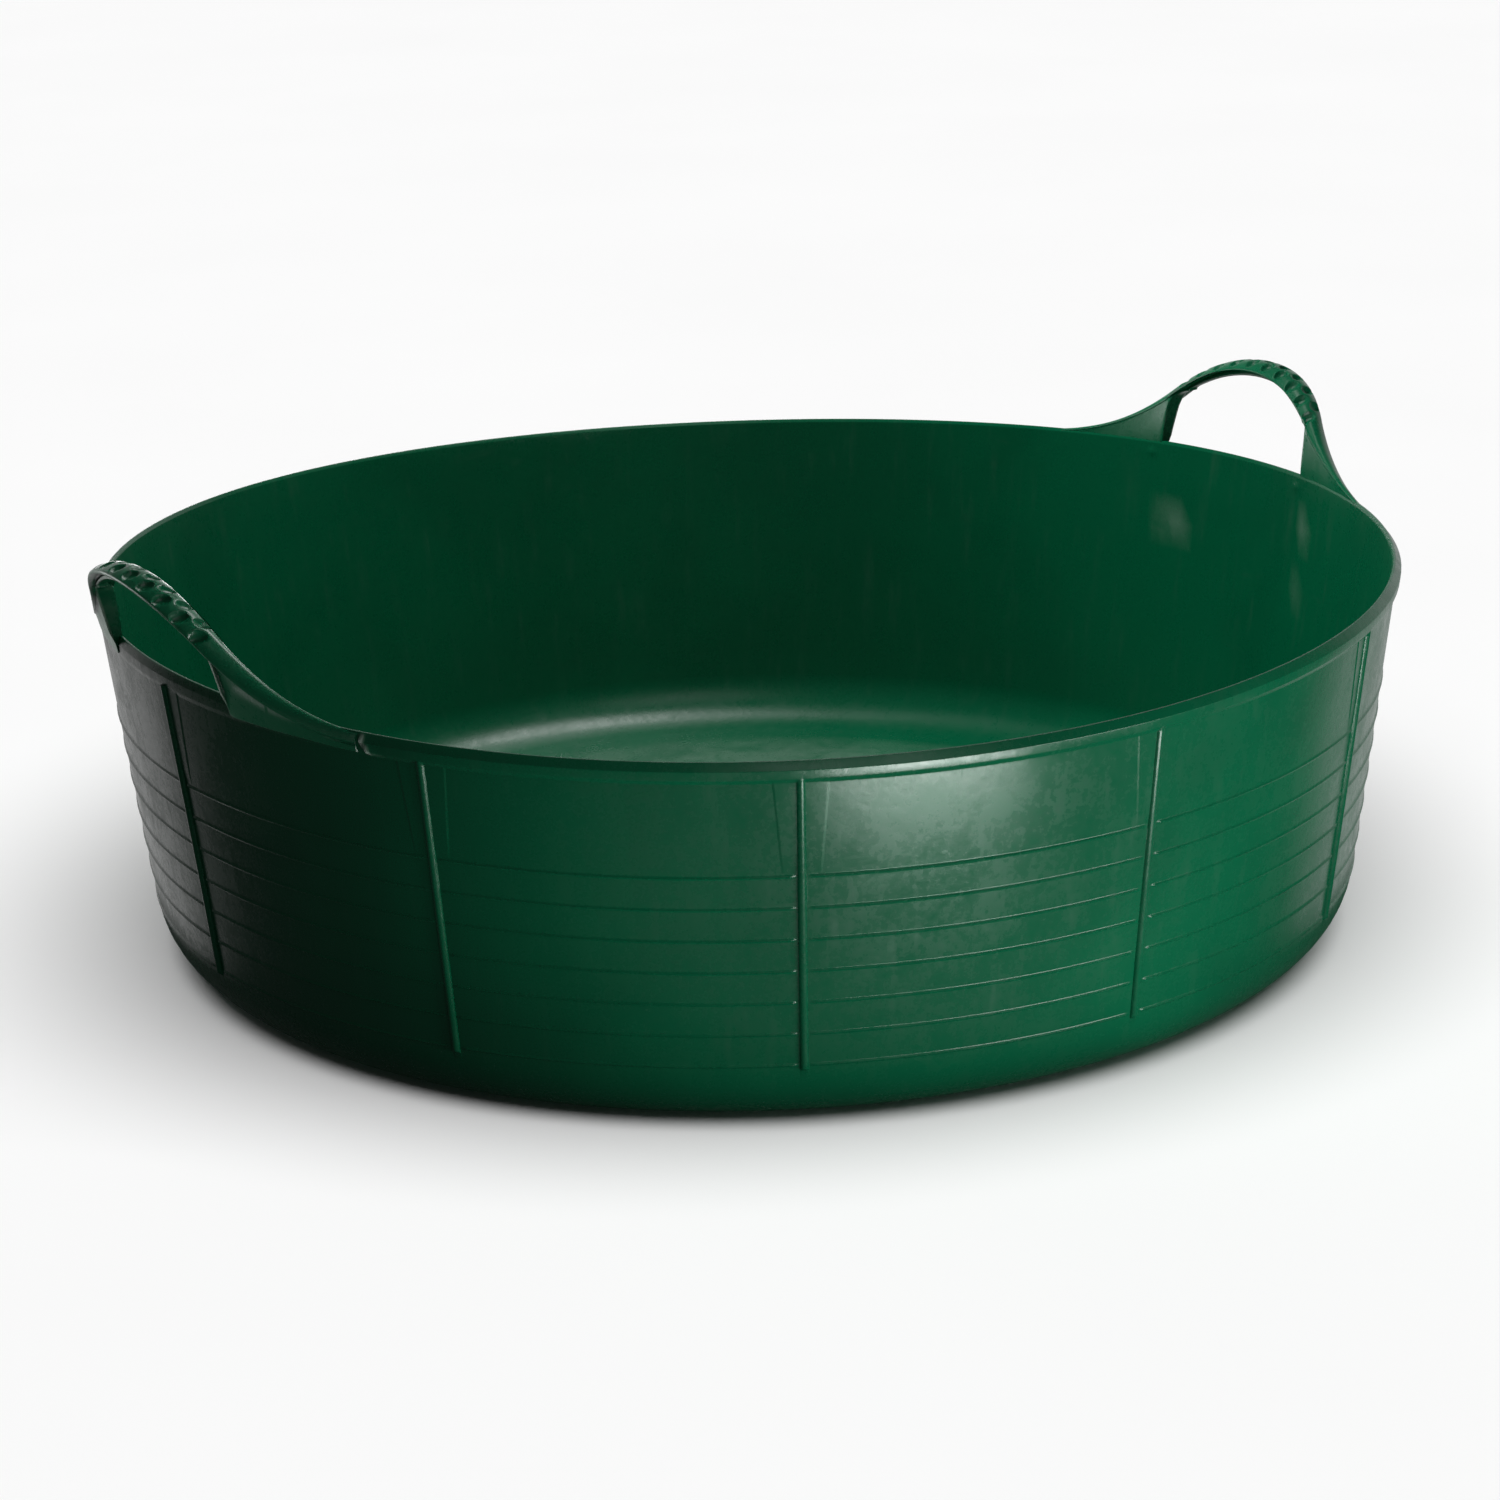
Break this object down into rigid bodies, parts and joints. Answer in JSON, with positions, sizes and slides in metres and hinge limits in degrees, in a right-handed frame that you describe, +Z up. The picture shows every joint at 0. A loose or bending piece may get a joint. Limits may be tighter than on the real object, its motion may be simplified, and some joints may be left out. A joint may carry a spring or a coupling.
{
  "type": "mortar mixing tub",
  "caption": "Shallow round flexible plastic mixing tub with an upright ribbed wall, a thickened rim and arched hand grips on opposite sides.",
  "frame": {"origin": "centre of the underside, on the ground", "axes": "+Z up out of the mouth, +X through the middle of the right handle, +Y towards the back, so the handles stand on the X axis"},
  "size_m": [0.6, 0.5676, 0.204],
  "materials": {
    "green_polyethylene": "semi-gloss dark green moulded polyethylene, lightly scuffed"
  },
  "bodies": {
    "tub": {"floor_panel": "green_polyethylene", "heel_ring": "green_polyethylene", "wall_panel_01": "green_polyethylene", "wall_panel_02": "green_polyethylene", "wall_panel_03": "green_polyethylene", "wall_panel_04": "green_polyethylene", "wall_panel_05": "green_polyethylene", "wall_panel_06": "green_polyethylene", "wall_panel_07": "green_polyethylene", "wall_panel_08": "green_polyethylene", "wall_panel_09": "green_polyethylene", "wall_panel_10": "green_polyethylene", "wall_panel_11": "green_polyethylene", "wall_panel_12": "green_polyethylene", "stiffening_rib_01": "green_polyethylene", "stiffening_rib_02": "green_polyethylene", "stiffening_rib_03": "green_polyethylene", "stiffening_rib_04": "green_polyethylene", "stiffening_rib_05": "green_polyethylene", "stiffening_rib_06": "green_polyethylene", "stiffening_rib_07": "green_polyethylene", "stiffening_rib_08": "green_polyethylene", "stiffening_rib_09": "green_polyethylene", "stiffening_rib_10": "green_polyethylene", "stiffening_rib_11": "green_polyethylene", "stiffening_rib_12": "green_polyethylene", "level_ring_1": "green_polyethylene", "level_ring_2": "green_polyethylene", "level_ring_3": "green_polyethylene", "level_ring_4": "green_polyethylene", "level_ring_5": "green_polyethylene", "level_ring_6": "green_polyethylene", "level_ring_7": "green_polyethylene", "back_rim_band": "green_polyethylene", "front_rim_band": "green_polyethylene", "right_rim_band": "green_polyethylene", "left_rim_band": "green_polyethylene", "right_back_foot": "green_polyethylene", "right_front_foot": "green_polyethylene", "left_back_foot": "green_polyethylene", "left_front_foot": "green_polyethylene"},
    "right_handle": {"right_grip_strap": "green_polyethylene", "right_crown_web": "green_polyethylene", "right_back_leg": "green_polyethylene", "right_front_leg": "green_polyethylene", "right_opening_bead": "green_polyethylene"},
    "left_handle": {"left_grip_strap": "green_polyethylene", "left_crown_web": "green_polyethylene", "left_back_leg": "green_polyethylene", "left_front_leg": "green_polyethylene", "left_opening_bead": "green_polyethylene"}
  },
  "joints": [
    {"name": "right_handle_flex", "type": "hinge", "parent": "tub", "child": "right_handle", "pos_m": [0.277, 0, 0.16], "axis": [0, -1, 0], "range_deg": [-15, 40], "stiffness_Nm_per_rad": 2.8},
    {"name": "left_handle_flex", "type": "hinge", "parent": "tub", "child": "left_handle", "pos_m": [-0.277, 0, 0.16], "axis": [0, 1, 0], "range_deg": [-15, 40], "stiffness_Nm_per_rad": 2.8}
  ]
}
